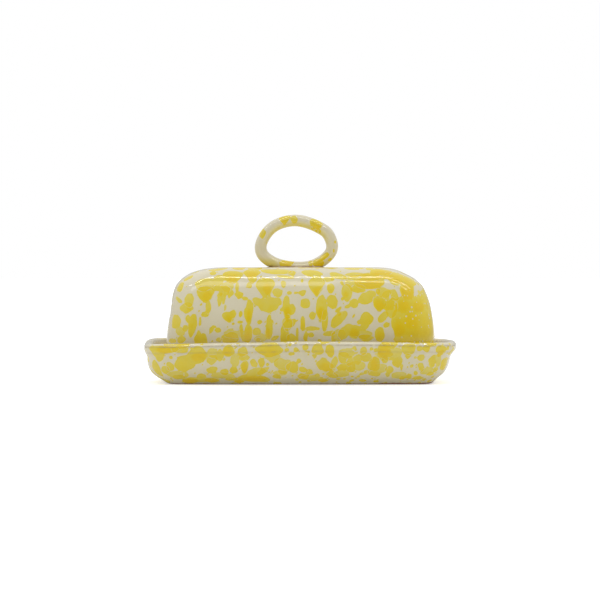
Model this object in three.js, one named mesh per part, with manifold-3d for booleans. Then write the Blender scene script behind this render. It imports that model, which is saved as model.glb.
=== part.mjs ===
// Covered butter dish in glazed earthenware: a shallow tray with a rolled lip, a deep loaf-shaped lid that
// stands inside the tray, and a ring handle of rolled clay stuck to the lid's crown with slip.
//
// Millimetres, +Z up. X runs along the dish and Y across it. The origin is the middle of the tray's foot, on
// the table. The lid, its handle and the slip between them lift off together.

import * as THREE from "three";
import { LoftGeometry } from "three/addons/geometries/LoftGeometry.js";
import { mergeVertices } from "three/addons/utils/BufferGeometryUtils.js";
import Module from "manifold-3d";

// Tray
const TRAY_LENGTH = 224;
const TRAY_WIDTH = 124;
const TRAY_HEIGHT = 30;
const TRAY_CORNER = 27; // corner radius of the lip's outline
const FOOT_INSET = 16.4; // how far the foot stands in from the lip's outline
const FLOOR_INSET = 15.5; // the same for the edge of the flat floor inside
const FLOOR_HEIGHT = 7;

// Lid
const LID_LENGTH = 193;
const LID_WIDTH = 95.5;
const LID_HEIGHT = 74.75;
const LID_CORNER = 22;
const LID_WALL = 5.5;
const LID_REST_GAP = 0.25; // between the lid's dry rim and the tray's floor
const STRAIGHT_WALL = 13; // height below which the lid's wall is upright
const CROWN_LENGTH = 100; // the flat of the crown, which carries the handle
const CROWN_WIDTH = 44;
const CROWN_CORNER = 12;
const RIM_ROUND = 2.2; // radius on both edges of the lid's rim
const SHOULDER_POWER = 3; // 2 is a quarter ellipse; more is squarer

// Handle
const COIL_RADIUS = 4.25; // of the rolled clay
const SLIP_THICKNESS = 0.75;
const SLIP_LENGTH = 44;
const SLIP_WIDTH = 9.5;
const SLIP_OFFSET = -3.2; // the handle stands a little left of the middle

// Every outline seen from above has bowed sides: arcs this many times longer in radius than the half-length
// or half-width that they close.
const SIDE_BOW = 14;
const END_BOW = 4;

// Fineness of the faceted solids
const ARC_STEPS = 8; // in each of an outline's eight arcs
const SECTION_STEPS = 4; // in each curve of the tray's wall section
const RIM_STEPS = 2; // in each rounded edge of the lid's rim
const SHOULDER_STEPS = 9;
const COIL_STEPS = 60;
const COIL_SIDES = 16;
const SLIP_STEPS = 10; // in each round end of the slip

const wasm = await Module();
wasm.setup();

// A four-sided outline of eight tangent arcs, at one height, counter-clockwise from above.
function outline(halfLength, halfWidth, corner, z) {
  const side = SIDE_BOW * halfLength;
  const end = END_BOW * halfWidth;
  const sideCentre = new THREE.Vector2(0, halfWidth - side);
  const endCentre = new THREE.Vector2(halfLength - end, 0);
  const centre = meet(sideCentre, side - corner, endCentre, end - corner);
  const fromEnd = centre.clone().sub(endCentre).angle();
  const fromSide = centre.clone().sub(sideCentre).angle();

  const points = [];
  const arc = (x, y, radius, first, last) => {
    const made = new THREE.EllipseCurve(x, y, radius, radius, first, last).getPoints(ARC_STEPS);
    made.pop(); // the next arc starts there
    points.push(...made);
  };
  arc(endCentre.x, 0, end, -fromEnd, fromEnd);
  arc(centre.x, centre.y, corner, fromEnd, fromSide);
  arc(0, sideCentre.y, side, fromSide, Math.PI - fromSide);
  arc(-centre.x, centre.y, corner, Math.PI - fromSide, Math.PI - fromEnd);
  arc(-endCentre.x, 0, end, Math.PI - fromEnd, Math.PI + fromEnd);
  arc(-centre.x, -centre.y, corner, Math.PI + fromEnd, Math.PI + fromSide);
  arc(0, -sideCentre.y, side, Math.PI + fromSide, 2 * Math.PI - fromSide);
  arc(centre.x, -centre.y, corner, 2 * Math.PI - fromSide, 2 * Math.PI - fromEnd);
  return points.map((p) => new THREE.Vector3(p.x, p.y, z));
}

// An outline shrunk to one point, which closes a flat face at its middle.
function middle(z) {
  return new Array(8 * ARC_STEPS).fill(new THREE.Vector3(0, 0, z));
}

// The point at distance p from a and q from b, on the right of the way from a to b.
function meet(a, p, b, q) {
  const along = b.clone().sub(a);
  const gap = along.length();
  along.normalize();
  const reach = (p * p - q * q + gap * gap) / (2 * gap);
  const rise = Math.sqrt(p * p - reach * reach);
  return new THREE.Vector2(a.x + along.x * reach + along.y * rise, a.y + along.y * reach - along.x * rise);
}

// Tray: one wall section, from the edge of the foot up the outside, over the lip and down to the floor.
// X is the inset from the lip's outline and Y is the height.
function trayProfile() {
  const section = new THREE.Path();
  section.moveTo(FOOT_INSET, 0);
  section.lineTo(9.6, 4.8);
  section.bezierCurveTo(5.4, 7.8, 3.4, 11.5, 2.8, 19.5);
  section.bezierCurveTo(2.4, 22, 0.2, 23.2, 0, 26);
  section.bezierCurveTo(-0.1, 28.6, 0.9, TRAY_HEIGHT, 2.9, TRAY_HEIGHT);
  section.bezierCurveTo(4.8, TRAY_HEIGHT, 5.6, 28.6, 6, 26.6);
  section.bezierCurveTo(7.4, 20, 8.6, 14.5, 10.6, 10.5);
  section.bezierCurveTo(11.6, 8.4, 13.2, FLOOR_HEIGHT, FLOOR_INSET, FLOOR_HEIGHT);
  return section.getPoints(SECTION_STEPS);
}

function trayGeometry() {
  const rings = trayProfile().map((p) =>
    outline(TRAY_LENGTH / 2 - p.x, TRAY_WIDTH / 2 - p.x, TRAY_CORNER - p.x, p.y),
  );
  return new LoftGeometry([middle(0), ...rings, middle(FLOOR_HEIGHT)]);
}

// One surface of the lid, as rings that rise from an upright wall, round the shoulder, to the flat crown.
// wall is how far the surface lies inside the lid's outer one.
function shoulderRings(wall) {
  const top = LID_HEIGHT - wall;
  const rings = [];
  for (let i = 0; i <= SHOULDER_STEPS; i++) {
    const angle = ((i / SHOULDER_STEPS) * Math.PI) / 2;
    const spread = Math.cos(angle) ** (2 / SHOULDER_POWER);
    const rise = Math.sin(angle) ** (2 / SHOULDER_POWER);
    const between = (crown, full) => crown + (full - crown) * spread;
    rings.push(
      outline(
        between(CROWN_LENGTH / 2, LID_LENGTH / 2 - wall),
        between((CROWN_WIDTH - wall) / 2, LID_WIDTH / 2 - wall),
        between(CROWN_CORNER, LID_CORNER - wall),
        STRAIGHT_WALL + (top - STRAIGHT_WALL) * rise,
      ),
    );
  }
  return rings;
}

// The rounded dry rim that the lid stands on, from its inner face to its outer one.
function rimRings() {
  const section = new THREE.Path();
  section.absarc(LID_WALL - RIM_ROUND, RIM_ROUND, RIM_ROUND, 0, -Math.PI / 2, true);
  section.absarc(RIM_ROUND, RIM_ROUND, RIM_ROUND, -Math.PI / 2, -Math.PI, true);
  return section
    .getPoints(RIM_STEPS)
    .map((p) => outline(LID_LENGTH / 2 - p.x, LID_WIDTH / 2 - p.x, LID_CORNER - p.x, p.y));
}

function lidGeometry() {
  const inside = [...shoulderRings(LID_WALL), middle(LID_HEIGHT - LID_WALL)].reverse();
  const outside = [...shoulderRings(0), middle(LID_HEIGHT)];
  return new LoftGeometry([...inside, ...rimRings(), ...outside]);
}

// The middle of the clay coil, in the plane Y = 0, as height over the slip. It dips below zero where the ring
// was pressed down flat.
function coilCurve() {
  const points = [
    [20.6, 22.9], [15.2, 27.3], [6.5, 31.3], [-3.4, 33.3], [-14.4, 31.2], [-22.6, 25.9],
    [-28.3, 16.2], [-27, 8.1], [-18.6, 2.2], [-9.5, -0.2], [-0.5, -0.9], [8.2, 0.2],
    [17.6, 4.9], [23.6, 12.8],
  ].map(([x, z]) => new THREE.Vector3(x, 0, z));
  return new THREE.CatmullRomCurve3(points, true);
}

// The coil as a closed loop, cut level with the slip that it is pressed into.
function handleGeometry() {
  const curve = coilCurve();
  const across = new THREE.Vector3(0, 1, 0);
  const rings = [];
  for (let i = 0; i <= COIL_STEPS; i++) {
    const along = (i % COIL_STEPS) / COIL_STEPS; // the last ring repeats the first
    const heart = curve.getPointAt(along);
    const outward = across.clone().cross(curve.getTangentAt(along));
    const ring = [];
    for (let j = 0; j < COIL_SIDES; j++) {
      const angle = (j / COIL_SIDES) * 2 * Math.PI;
      ring.push(
        heart
          .clone()
          .addScaledVector(outward, COIL_RADIUS * Math.cos(angle))
          .addScaledVector(across, COIL_RADIUS * Math.sin(angle)),
      );
    }
    rings.push(ring);
  }
  const coil = solid(new LoftGeometry(rings));
  const depth = 2 * COIL_RADIUS;
  const below = new THREE.BoxGeometry(LID_LENGTH, LID_WIDTH, depth).translate(0, 0, -depth / 2);
  return geometry(coil.subtract(solid(below)));
}

// The pad of slip between coil and crown: a flat strip with round ends.
function slipGeometry() {
  const radius = SLIP_WIDTH / 2;
  const reach = SLIP_LENGTH / 2 - radius;
  const pad = new THREE.Shape();
  pad.absarc(reach, 0, radius, -Math.PI / 2, Math.PI / 2);
  pad.absarc(-reach, 0, radius, Math.PI / 2, (3 * Math.PI) / 2);
  return new THREE.ExtrudeGeometry(pad, { depth: SLIP_THICKNESS, bevelEnabled: false, curveSegments: SLIP_STEPS });
}

// A closed geometry as a solid that can be cut.
function solid(closed) {
  const bare = new THREE.BufferGeometry();
  bare.setAttribute("position", closed.getAttribute("position"));
  bare.setIndex(closed.index);
  const merged = mergeVertices(bare);
  return new wasm.Manifold(
    new wasm.Mesh({
      numProp: 3,
      vertProperties: merged.attributes.position.array,
      triVerts: new Uint32Array(merged.index.array),
    }),
  );
}

// A solid as a geometry again.
function geometry(cut) {
  const mesh = cut.getMesh();
  const made = new THREE.BufferGeometry();
  made.setAttribute("position", new THREE.BufferAttribute(mesh.vertProperties, 3));
  made.setIndex(new THREE.BufferAttribute(mesh.triVerts, 1));
  made.computeVertexNormals();
  return made;
}

const splatterGlaze = new THREE.MeshStandardMaterial({ color: 0xdccb6e, roughness: 0.12, metalness: 0 });
const claySlip = new THREE.MeshStandardMaterial({ color: 0xcdb98c, roughness: 0.3, metalness: 0 });

function piece(name, shape, material) {
  const mesh = new THREE.Mesh(shape, material);
  mesh.name = name;
  return mesh;
}

const handle = new THREE.Group();
handle.add(piece("ring_handle", handleGeometry(), splatterGlaze));
handle.position.z = SLIP_THICKNESS;

const slip = piece("luting_slip", slipGeometry(), claySlip);
slip.position.x = SLIP_OFFSET;

const crown = new THREE.Group();
crown.add(slip, handle);
crown.position.z = LID_HEIGHT;

const cover = new THREE.Group();
cover.add(piece("lid", lidGeometry(), splatterGlaze), crown);
cover.position.z = FLOOR_HEIGHT + LID_REST_GAP;

const dish = new THREE.Group();
dish.add(piece("tray", trayGeometry(), splatterGlaze), cover);

export default dish;
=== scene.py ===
"""A covered butter dish in splashed, glazed earthenware: tray, lid, ring handle and the slip that holds it.

Each CAD node is replaced by a finely meshed piece of the same shape, with the small unevenness of handwork.
Shapes are worked out in millimetres, in the CAD frame, and turned into metres when a mesh is made.
"""
import math

import bpy
import numpy as np
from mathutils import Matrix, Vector


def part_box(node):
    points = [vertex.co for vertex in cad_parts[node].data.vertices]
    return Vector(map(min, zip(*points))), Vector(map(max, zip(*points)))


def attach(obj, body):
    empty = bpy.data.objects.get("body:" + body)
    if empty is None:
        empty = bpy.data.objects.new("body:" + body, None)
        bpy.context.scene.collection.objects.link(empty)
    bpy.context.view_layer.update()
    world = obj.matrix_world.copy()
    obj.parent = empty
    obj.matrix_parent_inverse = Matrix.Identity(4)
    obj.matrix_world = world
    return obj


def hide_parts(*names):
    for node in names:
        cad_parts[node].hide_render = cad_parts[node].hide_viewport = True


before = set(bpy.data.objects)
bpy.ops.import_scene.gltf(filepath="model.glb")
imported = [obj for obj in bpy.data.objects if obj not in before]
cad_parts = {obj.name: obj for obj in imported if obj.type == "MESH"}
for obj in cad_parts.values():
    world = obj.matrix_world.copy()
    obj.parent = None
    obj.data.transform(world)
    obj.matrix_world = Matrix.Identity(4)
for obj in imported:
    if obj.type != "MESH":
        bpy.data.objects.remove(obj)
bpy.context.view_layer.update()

MM = 0.001


def cad_box(node):
    """A CAD node's lowest and highest corner, in millimetres."""
    low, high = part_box(node)
    return np.array(low) / MM, np.array(high) / MM


_, tray_high = cad_box("tray")
lid_low, lid_high = cad_box("lid")
ring_low, _ = cad_box("ring_handle")
slip_low, slip_high = cad_box("luting_slip")

# Tray, as insets from the lip's outline and heights over the foot
TRAY_CORNER = 27
FOOT_INSET = 16.4
FOOT_RING = 9  # width of the ring that it stands on
FOOT_HOLLOW = 0.5
FLOOR_INSET = 15.5
FLOOR_HEIGHT = 7

# Lid, with heights over its rim
LID_CORNER = 22
LID_WALL = 5.5
STRAIGHT_WALL = 13
CROWN_LENGTH = 100
CROWN_WIDTH = 44
CROWN_CORNER = 12
RIM_ROUND = 2.2
SHOULDER_POWER = 3

# Ring handle: the coil's middle, as x and height over the slip
COIL_RADIUS = 4.25
COIL_POINTS = [
    (20.6, 22.9), (15.2, 27.3), (6.5, 31.3), (-3.4, 33.3), (-14.4, 31.2), (-22.6, 25.9), (-28.3, 16.2),
    (-27, 8.1), (-18.6, 2.2), (-9.5, -0.2), (-0.5, -0.9), (8.2, 0.2), (17.6, 4.9), (23.6, 12.8),
]

SIDE_BOW = 14  # radius of a long side, over the half-length that it closes
END_BOW = 4  # the same for an end, over the half-width

# Glaze
FILMS = 3  # coats of yellow that may lie over each other
SOFT = 2  # the third one, which has a soft edge and deepens the other two
FAR = 9.0  # mm, further than any splash reaches
NARROWEST = 0.4  # the least share of a splash's true size that is taken to show from the front
LEVEL = 0.9  # a normal's z, from which a face counts as level
SMALLEST_DOT = 0.35  # mm, a dot's radius
SMALLEST_SPLASH = 1.6  # mm, a scattered splash's width
RESIST = 0.9  # mm, width of the cream line between two splashes of one film
LOBES = 0.13  # how far a splash's outline strays from an oval, over its size
LOBE_COUNTS = (2, 3, 4, 5, 7)  # waves round its outline
DEPTH = 1.25  # an ordinary splash's depth, as the film's colour counts it

# The pool in a deep splash: its extra depth, and its reach, soft edge and drop, over the splash's half-size
POOL_DEPTH, POOL_REACH, POOL_SOFT, POOL_DROP = 2.4, 1.15, 0.9, 0.25


# ---- outlines and sections


def meet(a, p, b, q):
    """The point at distance p from a and q from b, on the right of the way from a to b."""
    along = b - a
    gap = np.hypot(*along)
    along = along / gap
    reach = (p * p - q * q + gap * gap) / (2 * gap)
    rise = math.sqrt(p * p - reach * reach)
    return a + along * reach + np.array([along[1], -along[0]]) * rise


def arc(centre, radius, first, last, steps):
    """Points round an arc, without its last one."""
    angle = np.linspace(first, last, steps, endpoint=False)
    return centre + radius * np.stack([np.cos(angle), np.sin(angle)], 1)


def outline(half_length, half_width, corner, height, steps):
    """A closed outline of eight tangent arcs. steps are for half an end, a corner, half a side."""
    side = SIDE_BOW * half_length
    end = END_BOW * half_width
    side_centre = np.array([0, half_width - side])
    end_centre = np.array([half_length - end, 0])
    centre = meet(side_centre, side - corner, end_centre, end - corner)
    from_end = math.atan2(*(centre - end_centre)[::-1])
    from_side = math.atan2(*(centre - side_centre)[::-1])
    quarter = np.concatenate([
        arc(end_centre, end, 0, from_end, steps[0]),
        arc(centre, corner, from_end, from_side, steps[1]),
        arc(side_centre, side, from_side, math.pi / 2, steps[2]),
        [[0, half_width]],
    ])
    there, back = quarter[:-1], quarter[:0:-1]
    flat = np.concatenate([there, back * [-1, 1], -there, back * [1, -1]])
    return np.column_stack([flat, np.full(len(flat), height)])


def bezier(a, b, c, d, steps):
    """Points along a cubic curve, without its first one."""
    t = np.linspace(0, 1, steps + 1)[1:, None]
    a, b, c, d = map(np.array, (a, b, c, d))
    return (1 - t) ** 3 * a + 3 * (1 - t) ** 2 * t * b + 3 * (1 - t) * t * t * c + t**3 * d


def even(points, count):
    """The same line with count points, evenly spaced."""
    run = np.concatenate([[0], np.cumsum(np.hypot(*np.diff(points, axis=0).T))])
    wanted = np.linspace(0, run[-1], count)
    return np.column_stack([np.interp(wanted, run, column) for column in points.T])


def shrunk(ring, steps):
    """Rings that fill a flat end: ring drawn in towards its middle."""
    middle = np.array([0, 0, ring[0, 2]])
    return [middle + (ring - middle) * share for share in np.linspace(1, 0, steps, endpoint=False)[1:]]


# ---- meshes


def wave(points, seed, shortest, longest, count=9):
    """A smooth random value from about -1 to 1 at each point, from waves of the given lengths in mm."""
    rng = np.random.default_rng(seed)
    total = np.zeros(len(points))
    for _ in range(count):
        way = rng.normal(size=3)
        way /= np.linalg.norm(way)
        length = rng.uniform(shortest, longest)
        total += np.sin(points @ way * (2 * math.pi / length) + rng.uniform(0, 2 * math.pi))
    return total / math.sqrt(count)


def smooth(value, low, high):
    """0 below low, 1 above high, and an S-curve between."""
    t = np.clip((value - low) / (high - low), 0, 1)
    return t * t * (3 - 2 * t)


def new_object(name, data):
    made = bpy.data.objects.new(name, data)
    bpy.context.scene.collection.objects.link(made)
    return made


def new_piece(name, points, faces, body, node):
    """A smooth-shaded piece, riding on a body in place of a CAD node."""
    mesh = bpy.data.meshes.new(name)
    mesh.from_pydata((points * MM).tolist(), [], faces)
    mesh.update()
    mesh.shade_smooth()
    piece = new_object(name, mesh)
    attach(piece, body)
    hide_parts(node)
    return piece


def quads(rings, count, closed=False):
    """The faces between rings of count points. closed joins the last ring to the first."""
    here = np.arange(count)
    after = (here + 1) % count
    low = np.arange(rings if closed else rings - 1)[:, None] * count
    high = (low + count) % (rings * count)
    return np.stack([low + here, low + after, high + after, high + here], 2).reshape(-1, 4).tolist()


def loft(rings):
    """Points and faces of the closed skin over rings, whose ends are drawn in to their middles."""
    count = len(rings[0])
    points = np.concatenate([*rings, [rings[0].mean(0)], [rings[-1].mean(0)]])
    start, end = len(points) - 2, len(points) - 1
    last = (len(rings) - 1) * count
    faces = quads(len(rings), count)
    faces += [[start, (a + 1) % count, a] for a in range(count)]
    faces += [[end, last + a, last + (a + 1) % count] for a in range(count)]
    return points, faces


def normals_of(points, faces):
    """Each point's normal, from its faces."""
    mesh = bpy.data.meshes.new("normals")
    mesh.from_pydata(points.tolist(), [], faces)
    found = np.empty(len(points) * 3, np.float32)
    mesh.vertex_normals.foreach_get("vector", found)
    bpy.data.meshes.remove(mesh)
    return found.reshape(-1, 3).astype(float)


def store(piece, **values):
    """Stores values by name: a vector or a number for each point of a piece, or one number for all."""
    for name, value in values.items():
        kind, field = ("FLOAT_VECTOR", "vector") if np.ndim(value) == 2 else ("FLOAT", "value")
        attribute = piece.data.attributes.new(name, kind, "POINT")
        if np.ndim(value) == 0:
            value = np.full(len(piece.data.vertices), value)
        attribute.data.foreach_set(field, np.asarray(value, np.float32).ravel())


# ---- splashes of glaze


class Surface:
    """A piece's points and normals, sorted by x so that the ones near a place are found fast."""

    def __init__(self, points, normals):
        self.points, self.normals = points, normals
        self.order = np.argsort(points[:, 0], kind="stable")
        self.sorted = points[self.order]

    def near(self, centre, reach):
        first, last = np.searchsorted(self.sorted[:, 0], [centre[0] - reach, centre[0] + reach])
        close = np.abs(self.sorted[first:last, 1:] - centre[1:]).max(1) < reach
        return self.order[first:last][close]


class Splash:
    """One splash of yellow glaze: a lobed oval on the surface, that may come to a point at its lower end.

    width and height are in mm. tone is its depth of glaze, where 1 is ordinary, and film the coat that it
    lies in. tilt turns it, in degrees, and point is from 0, oval, to 1, pointed. A joined splash runs
    together with the one before it.
    """

    def __init__(self, centre, out, width, height, tone=1, film=0, tilt=0, point=0, joined=False):
        self.centre, self.out = centre, out
        self.half = np.array([width / 2, height / 2])
        self.tone, self.film, self.joined = tone, film, joined
        self.tilt, self.point = math.radians(tilt), point
        # Its upper end is up the wall, or on a level face towards the middle of the piece
        level = out[2] >= LEVEL
        up = np.array([0, -1.0 if centre[1] > 0 else 1.0, 0]) if level else np.array([0, 0, 1.0])
        up = up - out * (up @ out)
        self.up = up / np.linalg.norm(up)
        self.side = np.cross(self.up, out)

    def measure(self, surface, rng):
        """Which points it may reach, their signed distance to its edge, and its depth of glaze there."""
        lobes = [(k, LOBES * rng.normal() / k, rng.uniform(0, 2 * math.pi)) for k in LOBE_COUNTS]
        reach = 1.4 * self.half.max() + 3  # room for its lobes, and for its neighbours' lines
        near = surface.near(self.centre, reach)
        near = near[surface.normals[near] @ self.out > 0]
        offset = surface.points[near] - self.centre
        across, along = offset @ self.side, offset @ self.up
        # Lengths run along the bent surface, not along the flat one that touches it at the splash's middle
        bent = np.linalg.norm(offset, axis=1) / np.maximum(np.hypot(across, along), 1e-6)
        bent = np.minimum(bent, 1.6)
        across, along = across * bent, along * bent
        cos, sin = math.cos(self.tilt), math.sin(self.tilt)
        x = (across * cos + along * sin) / self.half[0]
        y = (along * cos - across * sin) / self.half[1]
        x = x / np.clip(1 + self.point * np.minimum(y, 0.3), 0.12, None)
        angle = np.arctan2(y, x)
        shape = 1 + sum(size * np.cos(k * angle + turn) for k, size, turn in lobes)
        size = np.hypot(x, y) + 1e-4
        slope = np.hypot(x / self.half[0], y / self.half[1]) + 1e-4
        edge = (size / shape - 1) * size / slope
        # A pale splash is even. A deep one has its glaze gathered low in the middle.
        pool = smooth(POOL_REACH - np.hypot(x, y + POOL_DROP), 0, POOL_SOFT)
        depth = min(self.tone, 1) * (1 - 0.15 * np.clip(y, -1, 1)) + max(self.tone - 1, 0) * POOL_DEPTH * pool
        return near, edge, DEPTH * depth


def fill(surface, where, splashes, tries, seed, largest=3.2, gap=0.35):
    """Dots and small splashes at random in the room that the others leave, as large as fits or smaller."""
    rng = np.random.default_rng(seed)
    points, normals = surface.points, surface.normals
    room = np.full(len(points), FAR)

    def take_room(splash):
        near, edge, _ = splash.measure(surface, rng)
        room[near] = np.minimum(room[near], edge)

    for splash in splashes:
        take_room(splash)
    made = []
    for at in rng.choice(np.flatnonzero(where), tries):
        radius = min(room[at] - gap, largest * rng.beta(0.8, 1.6) + SMALLEST_DOT)
        if radius < SMALLEST_DOT:
            continue
        tone = rng.choice([0.6, 0.85, 1.1])
        width, height = 2 * radius * rng.uniform(0.8, 1.0), 2 * radius * rng.uniform(0.75, 1.0)
        tilt, point = rng.uniform(-60, 60), rng.choice([0, 0.2, 0.5])
        splash = Splash(points[at], normals[at], width, height, tone, rng.integers(SOFT), tilt, point)
        take_room(splash)
        made.append(splash)
    return made


def splash_on(piece, surface, splashes, seed, resist_seed):
    """Stores, for each film, the signed distance to the nearest splash's edge and its depth of glaze.

    first and second are the distances to the nearest splash and to the nearest one that isn't joined to it.
    """
    rng = np.random.default_rng(seed)
    points = surface.points
    first = np.full((len(points), FILMS), FAR)
    second = first.copy()
    depth = np.ones((len(points), FILMS))
    owner = np.full((len(points), FILMS), -1)
    group = 0
    for splash in splashes:
        group += not splash.joined
        near, edge, made = splash.measure(surface, rng)
        film = splash.film
        nearer = edge < first[near, film]
        next_best = np.maximum(first[near, film], edge)
        apart = owner[near, film] != group
        nearest_apart = np.minimum(second[near, film], next_best)
        second[near, film] = np.where(apart, nearest_apart, second[near, film])
        first[near, film] = np.where(nearer, edge, first[near, film])
        owner[near, film] = np.where(nearer, group, owner[near, film])
        depth[near, film] = np.where(nearer, made, depth[near, film])
    line = RESIST * smooth(wave(points, resist_seed, 12, 40), -0.3, 0.5)
    parted = (line[:, None] - (second - first)) * 0.7
    edge = np.where((second < 0) & (line[:, None] > 0.05), np.maximum(first, parted), first)
    store(piece, film_edge=edge, film_depth=depth)


def on_front(surface, rows):
    """Splashes listed one by one on the side that faces -Y.

    A row is x, z, width, height and, as far as they aren't ordinary, the rest of what Splash takes. width and
    height are as seen from the front, so both are larger where the surface turns away.
    """
    points, normals = surface.points, surface.normals
    front = np.flatnonzero((normals[:, 1] < -0.15) & (points[:, 1] < 0))
    made = []
    for x, z, width, height, *rest in rows:
        at = front[np.argmin(np.hypot(points[front, 0] - x, points[front, 2] - z))]
        out = normals[at]
        width /= max(math.sqrt(1 - out[0] ** 2), NARROWEST)
        height /= max(math.sqrt(1 - out[2] ** 2), NARROWEST)
        made.append(Splash(points[at], out, width, height, *rest))
    return made


def scattered(surface, where, count, seed, drips=0.3, largest=15):
    """Splashes at random, mostly small ones. drips is the share on steep faces that ran down."""
    rng = np.random.default_rng(seed)
    points, normals = surface.points, surface.normals
    chosen = rng.choice(np.flatnonzero(where), count)
    made = []
    for at in chosen:
        width = SMALLEST_SPLASH + (largest - SMALLEST_SPLASH) * rng.beta(1.1, 2.6)
        height = width * rng.uniform(0.6, 1.35)
        steep = normals[at, 2] < 0.6
        if steep and rng.random() < drips:
            width = rng.uniform(3, 6.5)
            height = width * rng.uniform(2, 4.5)
        tilt = rng.normal() * (12 if height > 2 * width else 45)
        point = rng.choice([0.0, 0.2, 0.45, 0.7])
        tone = rng.choice([0.8, 1.0, 1.4])
        made.append(Splash(points[at], normals[at], width, height, tone, rng.integers(SOFT), tilt, point))
        if width > 5 and rng.random() < 0.5:
            share = rng.uniform(0.4, 0.75)
            inner = (width * share, height * share)
            made.append(Splash(points[at], normals[at], *inner, 1.2, SOFT, tilt, point))
    return made


# ---- tray

TRAY_STEPS = (34, 38, 78)
TRAY_LEAN = np.array([(0, 0.3), (4, 1), (10, 1), (18, 0.8), (24, 0)])  # height, and how far the ends lean
LEAN_LEFT, LEAN_RIGHT = 1.0, 1.7
LIP_SAG_LEFT, LIP_SAG_RIGHT = 1.5, 0.4
# For x, y and z: size, seed, shortest and longest wave
TRAY_WAVES = ((0.5, 11, 60, 160), (0.4, 12, 50, 150), (0.3, 13, 45, 120))
LIP_WEAR_AND_PAINTED_REFLECTION = (27.9, 0.4, 0.75)  # height, half-width and strength of the brown line at the lip: glaze rubbed thin there, darkened also as a painted reflection line under the lip's highlight
# The same for painted shade in the crease under the lip
PAINTED_CREASE_SHADE = (23.3, 0.5, 0.35)


def tray_rings():
    """Rings from the middle of the underside, round the lip and down to the middle of the floor."""
    half_length, half_width, top = tray_high

    def ring(inset, height):
        corner = max(TRAY_CORNER - inset, 1)
        return outline(half_length - inset, half_width - inset, corner, height, TRAY_STEPS)

    # The section, as inset and height: the foot's edge, the belly, the flared neck, the lip and the inside
    section = np.concatenate([
        bezier(
            (FOOT_INSET + 1.2, 0), (FOOT_INSET + 0.5, 0), (FOOT_INSET - 0.3, 0.1), (FOOT_INSET - 1, 0.55), 4
        ),
        np.linspace((FOOT_INSET - 1, 0.55), (9.6, 4.8), 8)[1:],
        bezier((9.6, 4.8), (5.4, 7.8), (3.4, 11.5), (2.8, 19.5), 17),
        bezier((2.8, 19.5), (2.4, 22), (0.2, 23.2), (0, 26), 9),
        bezier((0, 26), (-0.1, 28.6), (0.9, top), (2.9, top), 8),
        bezier((2.9, top), (4.8, top), (5.6, 28.6), (6, 26.6), 7),
        bezier((6, 26.6), (7.4, 20), (8.6, 14.5), (10.6, 10.5), 14),
        bezier((10.6, 10.5), (11.6, 8.4), (13.2, FLOOR_HEIGHT), (FLOOR_INSET, FLOOR_HEIGHT), 6),
    ])
    outer = [ring(inset, height) for inset, height in section]
    hollow = ring(FOOT_INSET + FOOT_RING, FOOT_HOLLOW)
    foot = [ring(FOOT_INSET + FOOT_RING - 1.5, 0), ring(FOOT_INSET + 1.2, 0)]
    under = [*shrunk(hollow, 8)[::-1], hollow, *foot]
    return under + outer + shrunk(outer[-1], 30)


def shape_tray():
    """The tray's points and faces, and each point's height before the tray was made uneven."""
    points, faces = loft(tray_rings())
    x, y, z = points.T.copy()
    up = smooth(z, 1, 26)
    # The lip sags at its near left corner, the ends lean a little to the left, and every face is uneven
    near_left = smooth(-x, 30, 105) * smooth(-y, -25, 40)
    points[:, 2] += up * (-LIP_SAG_LEFT * near_left - LIP_SAG_RIGHT * smooth(x, 60, 108))
    lean = np.interp(z, *TRAY_LEAN.T)
    points[:, 0] -= lean * (LEAN_LEFT * smooth(-x, 60, 100) + LEAN_RIGHT * smooth(x, 60, 100))
    for axis, (size, seed, shortest, longest) in enumerate(TRAY_WAVES):
        points[:, axis] += up * size * wave(points, seed, shortest, longest)
    return points, faces, z


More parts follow.
